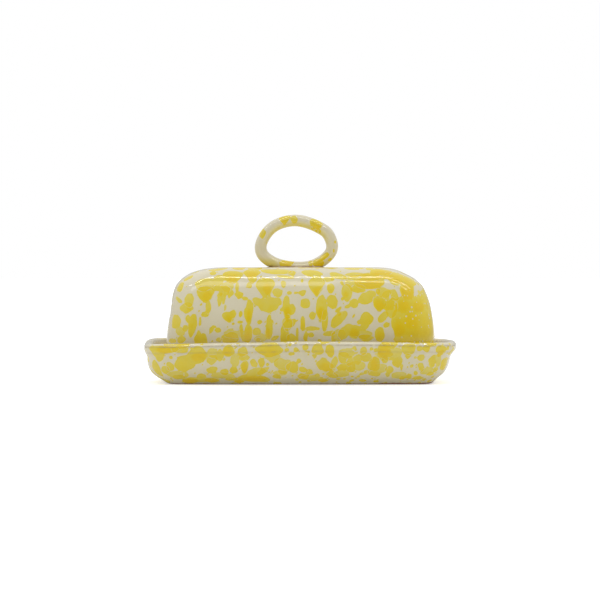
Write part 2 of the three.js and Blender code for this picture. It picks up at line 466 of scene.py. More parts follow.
# Rows for on_front
TRAY_SPLASHES = [
    (-103, 25, 5, 4), (-95, 25, 19, 6.5, 1.3, 0, 0, 0.2), (-98.9, 20.7, 9, 9, 1, 0, 0, 0.4, 1),
    (-83, 24.8, 12, 5, 0.9, 1), (-79.8, 15, 13, 13.5, 1.1, 0, 0, 0.1), (-71, 20.7, 15, 10, 1, 0, 10, 0, 1),
    (-70, 20.6, 12, 7, 1.7, 2, 10), (-90.4, 13, 6.3, 5.6, 0.9, 1), (-94, 10, 6.3, 6, 0.9),
    (-100.3, 11.4, 6, 12, 1, 1, 20), (-50, 24.2, 7.6, 8.5, 1.2, 1), (-55.8, 21.4, 6, 8, 0.9),
    (-61.4, 18, 8, 7, 0.8, 1, 0, 0.3), (-60.7, 10.4, 7.7, 5, 1, 0, 15), (-68.8, 5.8, 6.5, 4),
    (-84.5, 5.5, 9, 3.4, 0.9, 1), (-79.2, 7, 4, 4, 0.8), (-77, 2.4, 12, 3.2, 1.3, 1),
    (-61.4, 3.2, 10, 3.4, 1.3, 1), (-48, 4, 8.5, 2.8, 1, 0, 10), (-43, 2.6, 7, 2.8, 1.4, 1),
    (-52.2, 9, 6.3, 4.4, 1.1, 1), (-46.6, 10.4, 5.8, 5, 1.2, 0, 10), (-39.5, 23, 6.5, 7, 0.9, 1),
    (-39.5, 19.8, 9.5, 5, 0.9, 0, -15), (-38.1, 12, 5, 10, 1.3, 1, 0, 0.6), (-32.5, 16, 5, 5.8, 0.9),
    (-26.5, 15.7, 4.8, 7, 1.1, 1, 0, 0.5), (-21.1, 24.5, 18.5, 10, 1.4, 0, 0, 0.3),
    (-19, 19.8, 10, 8, 0.5, 1, 0, 0.5), (-5.6, 12.8, 8, 8.6, 1.1, 1), (-12, 10.8, 7.5, 6.5),
    (-15.5, 15.2, 4.5, 6, 0.9), (-33.9, 5, 20, 4.6, 1.5), (-26, 3.8, 9, 4, 0.9, 1),
    (-25.4, 10, 8.6, 4, 0.9, 1, 25), (-16, 6, 6.4, 3.2, 1.1, 0, -15), (-5.5, 21.6, 4.3, 2.5),
    (-9.4, 24.8, 3, 3, 1, 1), (-2.3, 25, 3.6, 3.6, 1.1), (-22, 14, 2.5, 2.2),
    (12.7, 25, 8, 8.4, 1, 0, 0, 0.1), (10.2, 20.3, 2.6, 4), (4.2, 26.4, 4.6, 4.4, 1, 1),
    (21.2, 24.2, 7, 7.6, 1.2, 1), (24, 16.3, 4.6, 9, 0.9, 0, -15), (30.4, 19.5, 8.6, 8, 1, 1),
    (34.6, 17.4, 5, 7, 1, 1), (17.7, 13.5, 11.5, 8, 1.1, 1, -20), (22, 7.3, 8.6, 4.6, 1.1, 1, -25, 0, 1),
    (16, 16.5, 5, 5, 1.1, 1, 0, 0, 1), (30.4, 12.6, 8.6, 5.4, 1.3, 0, 5),
    (35.3, 12.2, 6.6, 7.6, 1.3, 0, 0, 0, 1), (39.5, 18, 6, 8.4, 0.9, 0, 0, 0.2), (38, 25, 3.6, 5, 0.9),
    (44.5, 24, 5, 5.6, 1, 1), (46, 19.5, 7.4, 7, 1, 0, -30), (50.9, 15, 8, 11, 1.3, 1), (51.6, 8.7, 8, 5.6),
    (58, 24.5, 8.6, 11, 1.8), (58.6, 17.8, 4.5, 6, 1, 1), (62, 21.5, 4.4, 3.6, 1.1, 1), (52.4, 24.6, 3.2, 3),
    (67.1, 16.9, 7.2, 8.8, 1.1), (70, 12.4, 2, 5, 1, 1, 0, 0.4), (62.5, 11, 5.6, 5.6, 0.9, 1),
    (60.8, 6.8, 3, 4, 0.9, 1, 0, 0.2), (75, 25, 10, 8.6, 1, 1, 0, 0.2), (75, 20, 4, 4, 1, 0, 0, 0.5),
    (88, 25.3, 5, 5.6), (82.4, 26, 4.4, 4, 0.9), (98, 25, 7.6, 6.4, 1.1), (97.5, 22, 5, 4.6, 1.3, 1),
    (92.9, 16.6, 7.2, 9, 1.1, 0, 20), (84, 12, 4.8, 5.8, 1, 0, 0, 0.2), (80.2, 8.4, 3.2, 3.2, 0.9),
    (77.6, 13.8, 2.6, 2.4, 0.9), (75.3, 6, 5.6, 3.8, 1.1, 0, 15), (71, 4.6, 4.2, 2.6, 1.1, 1),
    (82, 4.6, 7, 2.8, 1.1), (86.8, 3.8, 3, 2, 1, 1), (90.8, 7.8, 5.6, 2.8, 1.1), (94.5, 11, 4, 3.8, 1, 1),
    (101, 14, 5, 10, 1.2, 1, -15), (2.8, 10.8, 6.4, 3.8, 1, 1, -20), (7, 8.8, 5, 4),
    (11.7, 6.4, 4.2, 3, 0.9, 1), (2.1, 6, 7.4, 4.4, 1.2), (16.3, 3, 6.6, 2.6, 1.8), (6, 3, 3.4, 2, 1, 1),
    (43.7, 3, 5.6, 2, 1.2), (36.3, 3, 3.4, 1.6, 1.1), (53, 2.6, 4, 1.8, 1.3, 1), (46, 9.5, 4, 3, 0.9, 1, 20),
    (-94.6, 24.3, 11, 6.4, 1.5, 2), (-50.5, 23.4, 7, 7, 1.2, 2), (-38.3, 11.4, 4.6, 9, 1.4, 2, 0, 0.4),
    (-76.8, 2.8, 13, 4, 1.6, 2), (-61.2, 3.6, 10, 4, 1.5, 2), (-42.7, 2.9, 8, 3.4, 1.3, 2),
    (-31.3, 4.4, 17, 5, 1.5, 2), (16.3, 3.4, 7, 3.4, 1.6, 2), (58.2, 22.6, 10, 9, 1.7, 2),
    (51, 15.8, 6, 9, 1.3, 2), (19, 13, 11, 8, 1.1, 2, -20), (97.9, 22.1, 5, 5, 1.2, 2), (-86, 7, 14, 5, 0.65),
    (-70, 3.6, 18, 3.6, 0.7), (-54, 6.4, 16, 4.6, 0.6), (-60, 22.6, 9, 6, 0.6), (-45, 17.6, 7, 9, 0.55),
    (-31, 8.6, 14, 7, 0.7, 0, 15), (-12, 15, 10, 9, 0.65, 0, -20), (-14, 8.4, 10, 4, 0.6, 1),
    (33, 22.6, 14, 6, 0.6), (41, 13.4, 9, 7, 0.65, 1), (29, 7.6, 10, 5, 0.65), (55, 12, 12, 7, 0.6),
    (67, 22, 9, 7, 0.6), (69, 6.6, 12, 5, 0.6), (88, 9.6, 9, 5, 0.6, 1, 20), (96, 17, 6, 9, 0.6, 0, 10),
    (7, 5, 16, 4, 0.6, 1),
]


def make_tray():
    points, faces, height = shape_tray()
    normals = normals_of(points, faces)
    piece = new_piece("glazed_tray", points, faces, "tray", "tray")
    x, y, z = points.T
    hero = (normals[:, 1] < -0.3) & (y < -40)  # the front, whose splashes are mostly listed one by one
    outside = (z > 1.5) & ~hero & (z < 31)
    ledge = (z > 20) & (normals[:, 2] > 0.1)  # the lip's top and the steep inside under it
    surface = Surface(points, normals)
    splashes = on_front(surface, TRAY_SPLASHES)
    ledge_at_end = ledge & (np.abs(x) > 95)
    splashes += scattered(surface, outside & ~ledge_at_end, 780, 21, drips=0.05)
    splashes += fill(surface, hero, splashes, 420, 22)
    splashes += fill(surface, outside & ~ledge, splashes, 900, 23)
    splash_on(piece, surface, splashes, 31, 32)
    # The foot's edge was wiped bare, a little higher at the near right
    line = 0.6 + 0.35 * smooth(x, 35, 60) * smooth(-y, 0, 30) + 0.15 * wave(points, 33, 15, 50)
    hollow = (normals[:, 2] < -0.9) & (height == FOOT_HOLLOW)
    # Brown lines round the outer walls: glaze wear and a painted reflection line at the lip, and painted
    # shade in the crease under it
    wall = smooth(np.abs(y) / tray_high[1] + np.abs(x) / tray_high[0], 0.6, 0.9) * (normals[:, 2] < 0.7)
    worn = sum(
        strength * np.exp(-(((height - middle) / half_width) ** 2))
        for middle, half_width, strength in (LIP_WEAR_AND_PAINTED_REFLECTION, PAINTED_CREASE_SHADE)
    )
    bare = np.where(hollow, FAR, z - line)
    store(piece, glaze_line=bare, splashed=np.where(hollow, 0.0, 1.0), worn=wall * worn, fizz=0, wash=0)
    return piece


# ---- lid

LID_STEPS = (28, 36, 76)
# Height, and how far each end stands out past the plain shape there
LEFT_END = np.array([
    (8, 0), (30, -0.3), (48, -1.4), (55, -0.9), (63, 0.8), (70, 2.6), (78, 2.4), (81, 1.5), (82, 0.3),
])
RIGHT_END = np.array([
    (8, 0), (33, 0.5), (48, 0.2), (55, 0.3), (63, 0.5), (67, 0.9), (70.5, 0.9), (74, 0), (78, -1.4),
    (82, -0.6),
])
LEVELLING = 12  # how far under the crown's top the waves across and up start to fade
# Rows for on_front
LID_SPLASHES = [
    (-79, 74.5, 7, 3.6, 1.1, 0, 38), (-84.7, 68.4, 4.6, 8, 1, 1, 25), (-58, 80.6, 14, 2.6, 1, 0, 4),
    (-61.6, 77.8, 4.6, 2.8), (-47.9, 75.2, 13.8, 9.4, 1.5, 0, 0, 0.4), (-66.6, 69.8, 14, 9, 0.8, 0, 10),
    (-57.3, 72.6, 7, 8, 0.8), (-66.3, 63.6, 11.6, 12, 1.3, 1, 0, 0.5), (-65, 61.8, 7, 7.6, 1.9, 2),
    (-64.1, 53.7, 3.8, 10, 0.9, 1, 0, 0.4, 1), (-66, 48.7, 5.2, 4.2, 1, 1),
    (-52.9, 65.6, 7, 8.4, 1, 0, 0, 0.5), (-48.5, 63, 4, 6.6, 1.1, 1, -15, 0.5), (-58, 67.2, 8, 4),
    (-44.2, 67.6, 2.4, 9, 0.9, 0, 0, 0.2), (-43, 62, 5.8, 5.4, 1.2, 0, 0, 0.4, 1),
    (-38.9, 60.6, 4.2, 2.6, 0.9, 0, -10, 0, 1), (-56.8, 58, 2.8, 9.4, 0.8, 0, 0, 0.6),
    (-53.4, 59, 2.6, 8, 0.8, 0, 0, 0.6, 1), (-55.4, 62, 5, 5, 0.8, 0, 0, 0, 1), (-77.9, 59.4, 6.6, 10, 0.7),
    (-79.7, 53, 9.6, 7.4, 0.8, 1, 0, 0.1), (-77.4, 54, 4.4, 4.4, 0.8, 2),
    (-85.6, 59.4, 6, 2.8, 0.8, 0, -25, 0.2), (-50.4, 46.6, 6.6, 8.6, 1.4, 0, 16, 0.6),
    (-47, 49, 5, 6.4, 1.1, 0, -30, 0, 1), (-52.4, 48.6, 5.4, 4.4, 1, 0, 10, 0, 1),
    (-52.4, 53.6, 1.5, 5, 0.6, 1, 0, 0.3), (-36.1, 50.1, 5.7, 18.5, 1.1, 0, 0, 0.1),
    (-36.2, 47.6, 3.8, 10, 1.3, 2, 0, 0.1), (-35.9, 35.3, 5.6, 13, 1.5, 0, 0, 0.1),
    (-22.2, 55.4, 15.6, 10.6, 0.85, 0, 0, 0.1), (-29.8, 57.6, 8, 5.4, 0.85, 0, -18, 0, 1),
    (-16, 57.5, 7, 6, 0.85, 0, 20, 0, 1), (-21.8, 61.6, 2.6, 4, 0.8, 0, 0, 0, 1),
    (-33.8, 77.9, 11.4, 6.8, 1.6, 0, 0, 0.5), (-33.5, 73.4, 5.4, 6, 1.1, 0, 0, 0.4, 1),
    (-24.9, 67.4, 12.2, 15.2, 1, 0, 0, 0.75), (-22.4, 66.6, 7.4, 9.4, 1.8, 2, 10, 0.4),
    (-15.9, 64.6, 7.6, 6, 0.8, 1, -20), (-35.5, 69.6, 4, 4.4, 0.9, 1), (-11.5, 70.5, 3.6, 5.4, 1, 0, 8, 0.3),
    (-7.6, 63.8, 3.7, 2.5), (-2.6, 64, 3, 1.8), (-16.8, 79.4, 22, 3.6, 0.9, 1, -5), (-5.4, 78, 5.6, 3.4),
    (-10, 75, 13, 2, 1, 0, -8), (-9.2, 55.6, 5.2, 13, 0.9), (-8.8, 49.6, 6, 12, 1.9, 2, 0, 0.6),
    (-5.4, 52, 5, 8.4, 0.9, 0, 0, 0, 1), (-12.6, 53, 3, 3, 0.8, 0, 0, 0, 1),
    (-7.6, 42.4, 10.6, 6, 0.9, 0, 32), (-21.8, 40.8, 4.6, 17, 1, 0, 0, -0.3), (-22.4, 35.6, 5, 9, 1.5, 2),
    (-19.4, 43.6, 2, 3, 0.9, 0, 0, 0, 1), (-30.7, 37.2, 6.4, 5, 0.9), (-75.7, 41.9, 6, 16.6, 1.1, 0, -8, 0.1),
    (-78.4, 45.6, 4, 5, 0.9, 0, -30, 0, 1), (-87.8, 43.7, 7, 10, 0.9, 0, -35, 0.2),
    (-80.7, 39.4, 3.8, 5, 0.9, 1, -10, 0.2), (-71, 32.6, 5.6, 10, 1.2, 0, 0, -0.4),
    (-66.8, 31.8, 4.6, 9, 1.2, 0, 0, -0.4, 1), (-83.5, 31.8, 6.4, 5, 1, 1, 15), (-90, 30.6, 6, 3),
    (-49.2, 32.6, 12.4, 8.4, 1.4, 1), (-57.3, 37.8, 5, 3.4), (-62, 38.4, 2.6, 6.4, 1, 0, -20, 0.5),
    (-60.4, 40.4, 3.4, 2, 0.9, 0, 20, 0, 1), (-44.7, 37.6, 4.4, 2.8), (-41, 37.6, 2.4, 8.6, 1, 1, 5, 0.5),
    (-38, 32.4, 7, 5, 1.2, 1), (-41.8, 48.7, 2.6, 4.8, 1.2, 0, 0, 0.2), (-41.8, 43.5, 4.2, 2.3, 1.1, 0, 5),
    (-47, 42, 2.2, 2, 1.1), (-28, 43.9, 3.8, 2.8, 1, 0, 15), (-10.5, 35, 6.6, 11, 1.1, 0, 0, -0.3),
    (-5.8, 32.4, 5.6, 7, 1, 1), (-2.2, 35.3, 1.8, 10.4), (-55.4, 63.7, 2.8, 2.4, 1, 1),
    (-69.7, 43.9, 1.8, 7.2, 1, 0, 0, 0.3), (-57, 31, 4.6, 3), (-17.5, 32.5, 6, 3, 1, 1, 30),
    (-29.6, 31, 4, 2.6), (11.6, 69.8, 10.6, 14, 0.9, 0, 0, 0.5), (11.8, 65.4, 7, 8.4, 1.8, 2, 0, 0.7),
    (8.7, 78.2, 15, 4.6, 0.9, 0, 0, 0, 1), (1.5, 72.3, 2, 2.7), (2, 64.3, 5, 4.2, 1, 0, 10),
    (4, 56.8, 7.2, 7, 0.85), (21.8, 66.7, 5.6, 6.8, 1.1, 0, -10, 0.2), (15.1, 53.1, 7, 20.5, 0.9, 0, 2, 0.2),
    (14.4, 49.4, 5.6, 12, 1.8, 2, 0, 0.5), (17.8, 44.4, 4.4, 16, 1, 1, -3, 0.1),
    (22.6, 57.6, 7.6, 10, 1, 0, 10, 0.1), (32.9, 64.4, 7, 14, 0.9, 0, -5, 0.3),
    (32.5, 63.5, 4.4, 5.6, 1.4, 2), (35.4, 71.4, 8, 7, 0.7, 1), (40.3, 67.6, 11, 6.6, 1.3, 1),
    (49, 70.8, 21.6, 8.6, 2, 0, 0, 0.1), (54, 76.2, 24, 4.6, 1.2, 0, -3, 0, 1), (57, 79, 16, 4.4, 1.6, 1),
    (38.6, 76.8, 12, 3.6, 0.9), (27, 76, 12.6, 4.2, 0.8, 0, -22), (71.4, 74.4, 22, 8, 1.6, 0, -24, 0, 1),
    (75.4, 66, 11, 17, 2.2, 0, -8, 0.1, 1), (45.4, 59.6, 10.6, 8, 0.95, 0, 12),
    (37.7, 56.4, 6.8, 6.2, 0.9, 0, 15, 0, 1), (32.9, 54.5, 4.8, 2.5, 0.9, 0, 20, 0, 1),
    (50, 63.4, 8, 5, 0.8, 0, 0, 0, 1), (55.4, 56.8, 10.4, 10.4, 1.7, 1, 0, 0.15),
    (58.4, 64, 10, 7, 0.8, 0, 0, 0, 1), (65, 61.6, 8, 9, 0.9, 1), (63.4, 55.6, 9, 9, 0.9, 0, -30, 0, 1),
    (27.3, 45.2, 7, 15, 0.95, 0, -46), (46.2, 45.6, 9.4, 9.4, 1.1, 0, 45), (41.8, 44, 4, 3.4, 1, 0, 0, 0, 1),
    (36.4, 38, 12, 9, 1, 0, 8), (38, 35.6, 8, 8.6, 1.5, 2), (29.9, 35.4, 7, 9, 0.9, 0, -15),
    (44.6, 40.6, 9, 4.4, 1, 0, 30, 0, 1), (45.5, 32.8, 10, 5, 1.1, 1), (58, 46.8, 5, 10, 0.9, 0, -45),
    (60.2, 41.3, 4.7, 3.6, 1, 0, 15), (55.8, 35.2, 7, 10.4, 1.3), (26.8, 51.8, 5.6, 2.6, 1, 0, 42),
    (28.2, 49, 3.4, 1.4, 1, 1, 30), (8.5, 48, 5.2, 5.2, 0.85, 0, 0, 0.2),
    (1.9, 42.8, 3.4, 11, 1.2, 0, 0, -0.1), (8.9, 38.9, 10.6, 3, 0.9, 0, -3),
    (4.1, 33.6, 3, 7, 1.2, 0, -12, -0.2), (8.2, 34.6, 3.8, 4, 1, 0, 0, 0.2), (20.6, 36, 9.4, 3.6, 0.9, 0, 8),
    (23, 32.6, 3.4, 8, 1.1, 1), (29.8, 70.8, 2.6, 3.2, 1, 0, 25), (23, 73.8, 2.6, 1.9),
    (29.4, 60.4, 2.2, 3, 1, 1, -30), (37.4, 47.6, 1.6, 3.6, 1.1, 0, -30), (54.6, 65.2, 3.2, 4, 1, 1),
    (73, 54.6, 17, 14, 1.4), (70.6, 42, 13, 22, 1.4, 0, 0, 0, 1), (80, 43, 18, 28, 1.4, 0, 0, 0, 1),
    (83.6, 56.4, 12, 13, 1.5, 0, 0, 0, 1), (88.6, 42, 12, 28, 1.3, 0, 0, 0, 1),
    (76, 31.6, 22, 8, 1.4, 0, 0, 0, 1), (83.4, 53.4, 9, 8, 1.5, 2), (69.4, 38.6, 8, 10, 1.5, 2),
    (78, 45, 11, 13, 1, 2), (73, 56, 9, 8, 1.2, 2), (94, 44, 8, 34, 1.2, 0, 0, 0, 1), (75, 65, 8, 11, 1.7, 2),
    (53, 70, 14, 5, 1.5, 2), (60, 76.5, 16, 5, 1.2, 2, -10), (-47, 74, 7, 5, 1.2, 2),
    (-33.4, 77, 6, 4, 1.2, 2), (-48.6, 45.4, 4.4, 4.4, 1.4, 2), (56, 54.6, 7, 6, 1.4, 2),
    (89.5, 58, 8, 15, 1.2, 0, -8), (64, 53.6, 8, 15, 0.85, 1), (61.6, 62.6, 8, 7, 0.8, 1),
    (44, 74.8, 26, 6, 0.95, 1), (27, 35, 10, 8, 0.6, 1), (45, 34.4, 11, 6, 0.65), (68, 72, 9, 6, 0.8, 1, -20),
    (-46, 36, 15, 7, 0.6), (-27, 33, 9, 6, 0.6, 1), (-9, 43, 7, 10, 0.6, 1), (-51, 68, 9, 7, 0.6, 1),
    (20, 73.4, 9, 3.6, 0.6, 1), (-84, 37, 7, 6, 0.6),
]


def shoulder(wall, count):
    """From the wall to the crown: how far out, from 0 at the crown to 1, and how far up, evenly spaced."""
    angle = np.linspace(0, math.pi / 2, 400)
    spread, rise = (np.maximum(f(angle), 0) ** (2 / SHOULDER_POWER) for f in (np.cos, np.sin))
    run = (lid_high[0] - CROWN_LENGTH / 2 + lid_high[1] - CROWN_WIDTH / 2) / 2 - wall
    climb = lid_high[2] - lid_low[2] - wall - STRAIGHT_WALL
    return even(np.column_stack([spread * run, rise * climb]), count) / [run, climb]


def lid_surface(wall, straight_steps, shoulder_steps, crown_steps):
    """Rings from the straight wall to the middle of the crown, wall inside the outer surface."""
    foot = lid_low[2]
    top = lid_high[2] - wall
    full = np.array([*lid_high[:2], LID_CORNER]) - wall
    crown = np.array([CROWN_LENGTH / 2, (CROWN_WIDTH - wall) / 2, CROWN_CORNER])
    rings = []
    for height in np.linspace(RIM_ROUND, STRAIGHT_WALL, straight_steps, endpoint=False)[1:]:
        rings.append(outline(*full, foot + height, LID_STEPS))
    for spread, rise in shoulder(wall, shoulder_steps):
        height = foot + STRAIGHT_WALL + (top - foot - STRAIGHT_WALL) * rise
        rings.append(outline(*(crown + (full - crown) * spread), height, LID_STEPS))
    return rings + shrunk(rings[-1], crown_steps)


def rim_rings():
    """The rounded rim that it stands on, from its inner face to its outer one."""
    inner = arc(np.array([LID_WALL - RIM_ROUND, RIM_ROUND]), RIM_ROUND, 0, -math.pi / 2, 5)
    outer = arc(np.array([RIM_ROUND, RIM_ROUND]), RIM_ROUND, -math.pi / 2, -math.pi, 5)
    end = [[0, RIM_ROUND]]
    return [
        outline(lid_high[0] - inset, lid_high[1] - inset, LID_CORNER - inset, lid_low[2] + height, LID_STEPS)
        for inset, height in np.concatenate([inner, outer, end])
    ]


def shape_lid():
    """The lid's points and faces, and how many of the points, at the front, are its inside's."""
    inside = lid_surface(LID_WALL, 4, 26, 10)[::-1]
    outside = lid_surface(0, 12, 76, 24)
    points, faces = loft(inside + rim_rings() + outside)
    x, _, z = points.T.copy()
    up = smooth(z, lid_low[2] + 3, 45)
    # The ends were patted to shape by hand: the left one leans in above the rim, and both have full shoulders
    left, right = np.interp(z, *LEFT_END.T), np.interp(z, *RIGHT_END.T)
    points[:, 0] += right * smooth(x, 45, 80) - left * smooth(-x, 45, 80)
    level = smooth(-z, -lid_high[2], -lid_high[2] + LEVELLING)
    points[:, 0] += 0.35 * up * wave(points, 41, 50, 140)
    points[:, 1] += 0.35 * up * level * wave(points, 42, 40, 110)
    points[:, 2] += 0.25 * up * level * wave(points, 43, 35, 110)
    return points, faces, sum(map(len, inside))


def make_lid():
    points, faces, inner = shape_lid()
    normals = normals_of(points, faces)
    piece = new_piece("glazed_lid", points, faces, "lid", "lid")
    x, _, z = points.T
    outside = np.arange(len(points)) >= inner
    outside[-2] = False  # the middle of the ceiling
    hero = outside & (normals[:, 1] < -0.35) & (z > 25)  # the front, whose splashes are mostly listed one by one
    rest = outside & ~hero & (z > 12)
    surface = Surface(points, normals * outside[:, None])
    splashes = on_front(surface, LID_SPLASHES)
    splashes += scattered(surface, rest, 640, 51)
    splashes += scattered(surface, rest & (x > 84), 60, 52, largest=20)
    splashes += fill(surface, hero, splashes, 150, 53, largest=1.6, gap=0.6)
    splashes += fill(surface, rest, splashes, 700, 54)
    splash_on(piece, surface, splashes, 61, 62)
    bare = z - lid_low[2] - 0.8 - 0.15 * wave(points, 63, 15, 50)
    store(piece, glaze_line=bare, splashed=outside, worn=0, fizz=outside * smooth(x, 62, 74), wash=0)
    return piece


# ---- ring handle and its slip

RING_STEPS = 260
RING_SIDES = 48
RING_EASING = 60  # passes that smooth the coil's middle line
RING_FLATTENED = 0.97  # its thickness from front to back, over its height
# Rows for on_front
RING_SPLASHES = [
    (-11.2, 116.4, 7, 8, 1.4, 0, 0, 0.7), (-4, 116.2, 4.8, 6.4, 1, 0, 0, 0.3),
    (11.3, 113, 8.6, 9.5, 1.5, 0, -15, 0.3), (13.6, 110.6, 3, 5, 1, 1, -20, 0.7),
    (-27.3, 106.4, 4.6, 7.6, 0.95, 0, 10, 0.4), (-9.7, 85.4, 11, 6.5, 1.5), (13.4, 85.2, 8, 7, 1.5),
    (17, 89.6, 10, 3.4, 1.4, 1, 38), (7.4, 85.2, 3.4, 4, 0.8, 1), (21.7, 87.6, 3, 2.4, 1.2, 0, 30),
    (8.8, 110, 1.6, 4, 1.3, 0, 0, 0, 1), (11.4, 108.4, 1.8, 4, 1.3, 0, 0, 0, 1),
    (14.2, 108.2, 1.7, 3.4, 1.3, 0, 0, 0, 1), (25.3, 100.4, 1.5, 2.2, 1.2), (24.1, 94.1, 1.4, 2.6, 1.2),
]


def coil_line(share):
    """The coil's middle at shares of the way round, and the direction there, through COIL_POINTS."""
    points = np.array(COIL_POINTS)
    count = len(points)
    at = np.asarray(share) * count
    i = np.floor(at).astype(int)
    t = (at - i)[:, None]
    a, b, c, d = (points[(i + k) % count] for k in (-1, 0, 1, 2))
    # A Catmull-Rom curve through b and c
    square, cube = 2 * a - 5 * b + 4 * c - d, 3 * b - a - 3 * c + d
    place = 0.5 * (2 * b + (c - a) * t + square * t**2 + cube * t**3)
    way = 0.5 * ((c - a) + 2 * square * t + 3 * cube * t**2)
    return place, way / np.linalg.norm(way, axis=1)[:, None]


def make_ring():
    share = np.linspace(0, 1, RING_STEPS, endpoint=False)
    place, way = coil_line(share)
    for _ in range(RING_EASING):
        place = (np.roll(place, 1, 0) + 2 * place + np.roll(place, -1, 0)) / 4
        way = (np.roll(way, 1, 0) + 2 * way + np.roll(way, -1, 0)) / 4
    way /= np.linalg.norm(way, axis=1)[:, None]
    angle = np.linspace(0, 2 * math.pi, RING_SIDES, endpoint=False)
    points = []
    for (x, z), (along_x, along_z), turn in zip(place, way, share * 2 * math.pi):
        # Rolled by hand: a little thicker in places, and pressed flat from front to back
        radius = COIL_RADIUS * (1.0 + 0.02 * math.sin(2 * turn + 0.8))
        out = radius * np.cos(angle)
        across = RING_FLATTENED * radius * np.sin(angle)
        points.append(np.column_stack([x + along_z * out, across, z - along_x * out]))
    points = np.concatenate(points)
    points[:, 2] = np.maximum(points[:, 2], 0) + ring_low[2]
    faces = quads(RING_STEPS, RING_SIDES, closed=True)
    normals = normals_of(points, faces)
    piece = new_piece("glazed_ring_handle", points, faces, "lid", "ring_handle")
    back = normals[:, 1] > 0.1
    surface = Surface(points, normals)
    splashes = on_front(surface, RING_SPLASHES)
    splashes += scattered(surface, back, 16, 71, drips=0, largest=9)
    splashes += scattered(surface, back, 24, 72, drips=0, largest=2.4)
    splash_on(piece, surface, splashes, 73, 74)
    # Painted reflection: yellow film added under the arch, where the yellow lid below would show in the
    # glaze. The left foot is deeper yellow, and a dark painted reflection line runs along the top
    x, _, z = points.T
    # painted reflection of the lid: yellow on faces that look down, under the top of the arch
    under = smooth(-normals[:, 2], -0.15, 0.7) * smooth(z, 92, 108)
    foot = smooth(-z, -90, -84) * smooth(-x, 12, 22)
    # a dark painted reflection line along the top of the arch, on faces that tilt a little upward
    painted_reflection_line = np.exp(-(((normals[:, 2] - 0.33) / 0.09) ** 2)) * smooth(z, 98, 112)
    store(piece, glaze_line=FAR, splashed=0.5, worn=0.3 * painted_reflection_line, fizz=0, wash=0.3 * under + 0.5 * foot)
    return piece


BEAD_STEPS = 200


def bead_outline():
    """Where the coil's flanks meet the slip, seen from above, as a closed outline."""
    place, _ = coil_line(np.linspace(0, 1, 2000, endpoint=False))
    low = place[place[:, 1] < COIL_RADIUS]
    low = low[np.argsort(low[:, 0])]
    half = np.sqrt(np.maximum(COIL_RADIUS**2 - np.maximum(low[:, 1], 0) ** 2, 0))
    near, far = np.column_stack([low[:, 0], -half]), np.column_stack([low[:, 0], half])
    edge = np.concatenate([near, far[::-1]])
    return even(np.concatenate([edge, edge[:1]]), BEAD_STEPS + 1)[:-1]


def make_bead():
    """The slip: a thin pad under the coil, whose edge is wiped up against it in a hollow bead."""
    edge = bead_outline()
    ahead, behind = np.roll(edge, -1, 0), np.roll(edge, 1, 0)
    way = ahead - behind
    out = np.column_stack([way[:, 1], -way[:, 0]]) / np.linalg.norm(way, axis=1)[:, None]
    flare = 1.8 * smooth(-edge[:, 0], 14, 21)  # it was smeared wider at the left end
    uneven = 1 + 0.3 * wave(np.column_stack([edge, edge[:, 0]]), 81, 6, 20) + flare
    base, top = slip_low[2], slip_high[2]
    # Its section, as how far out and how high
    section = [
        (0.9, base - 0.05), (0.8, base + 0.12), (0.35, base + 0.3), (0.1, base + 0.6),
        (0, top), (-0.25, top + 0.35),
    ]
    rings = []
    for offset, height in section:
        flat = edge + out * (offset * uneven)[:, None]
        rings.append(np.column_stack([flat, np.full(len(flat), height)]))
    bottom = rings[0].mean(0) + (rings[0] - rings[0].mean(0)) * 0.6
    pad = rings[-1] - [0, 0, 0.4]
    inner = pad.mean(0) + (pad - pad.mean(0)) * [0.9, 0.8, 1]
    points, faces = loft([bottom, *rings, inner])
    return new_piece("wiped_slip", points, faces, "lid", "luting_slip")


# ---- materials


def node(tree, kind, inputs=None, **settings):
    """A new shader node, with its settings made and each input given a value or joined to a socket."""
    made = tree.nodes.new("ShaderNode" + kind)
    for key, value in settings.items():
        setattr(made, key, value)
    for key, value in (inputs or {}).items():
        if isinstance(value, bpy.types.NodeSocket):
            tree.links.new(value, made.inputs[key])
        else:
            made.inputs[key].default_value = value
    return made


def calc(tree, operation, a, b=0.0):
    return node(tree, "Math", {0: a, 1: b}, operation=operation).outputs[0]


def times(tree, a, b):
    return calc(tree, "MULTIPLY", a, b)


def vector(tree, operation, a, b, c=(0, 0, 0)):
    return node(tree, "VectorMath", {0: a, 1: b, 2: c}, operation=operation).outputs["Vector"]


def added(tree, values, shares):
    """The sum of a vector's three numbers, each times its share."""
    return node(tree, "VectorMath", {0: values, 1: shares}, operation="DOT_PRODUCT").outputs["Value"]


def remap(tree, value, low, high, to_low=0.0, to_high=1.0):
    """value from low..high to to_low..to_high, held at the ends."""
    inputs = {"Value": value, "From Min": low, "From Max": high, "To Min": to_low, "To Max": to_high}
    return node(tree, "MapRange", inputs).outputs["Result"]


def remap_vector(tree, value, low, high, to_low, to_high):
    """The same for each of a vector's three numbers."""
    made = node(tree, "MapRange", data_type="FLOAT_VECTOR")
    tree.links.new(value, made.inputs["Vector"])
    ends = {"From_Min": low, "From_Max": high, "To_Min": to_low, "To_Max": to_high}
    for key, value in ends.items():
        socket = next(s for s in made.inputs if s.identifier == key + "_FLOAT3")
        socket.default_value = value if isinstance(value, tuple) else (value,) * 3
    return made.outputs["Vector"]


def mix(tree, share, a, b, blend="MIX"):
    made = node(tree, "Mix", data_type="RGBA", blend_type=blend, clamp_factor=True)
    for key, value in (("Factor_Float", share), ("A_Color", a), ("B_Color", b)):
        socket = next(s for s in made.inputs if s.identifier == key)
        if isinstance(value, bpy.types.NodeSocket):
            tree.links.new(value, socket)
        else:
            socket.default_value = value
    return next(s for s in made.outputs if s.identifier == "Result_Color")


def noise(tree, place, size, detail=2.0, roughness=0.5, output="Fac"):
    """Noise whose features are about size mm across."""
    inputs = {"Vector": place, "Scale": 1 / (size * MM), "Detail": detail, "Roughness": roughness}
    return node(tree, "TexNoise", inputs).outputs[output]


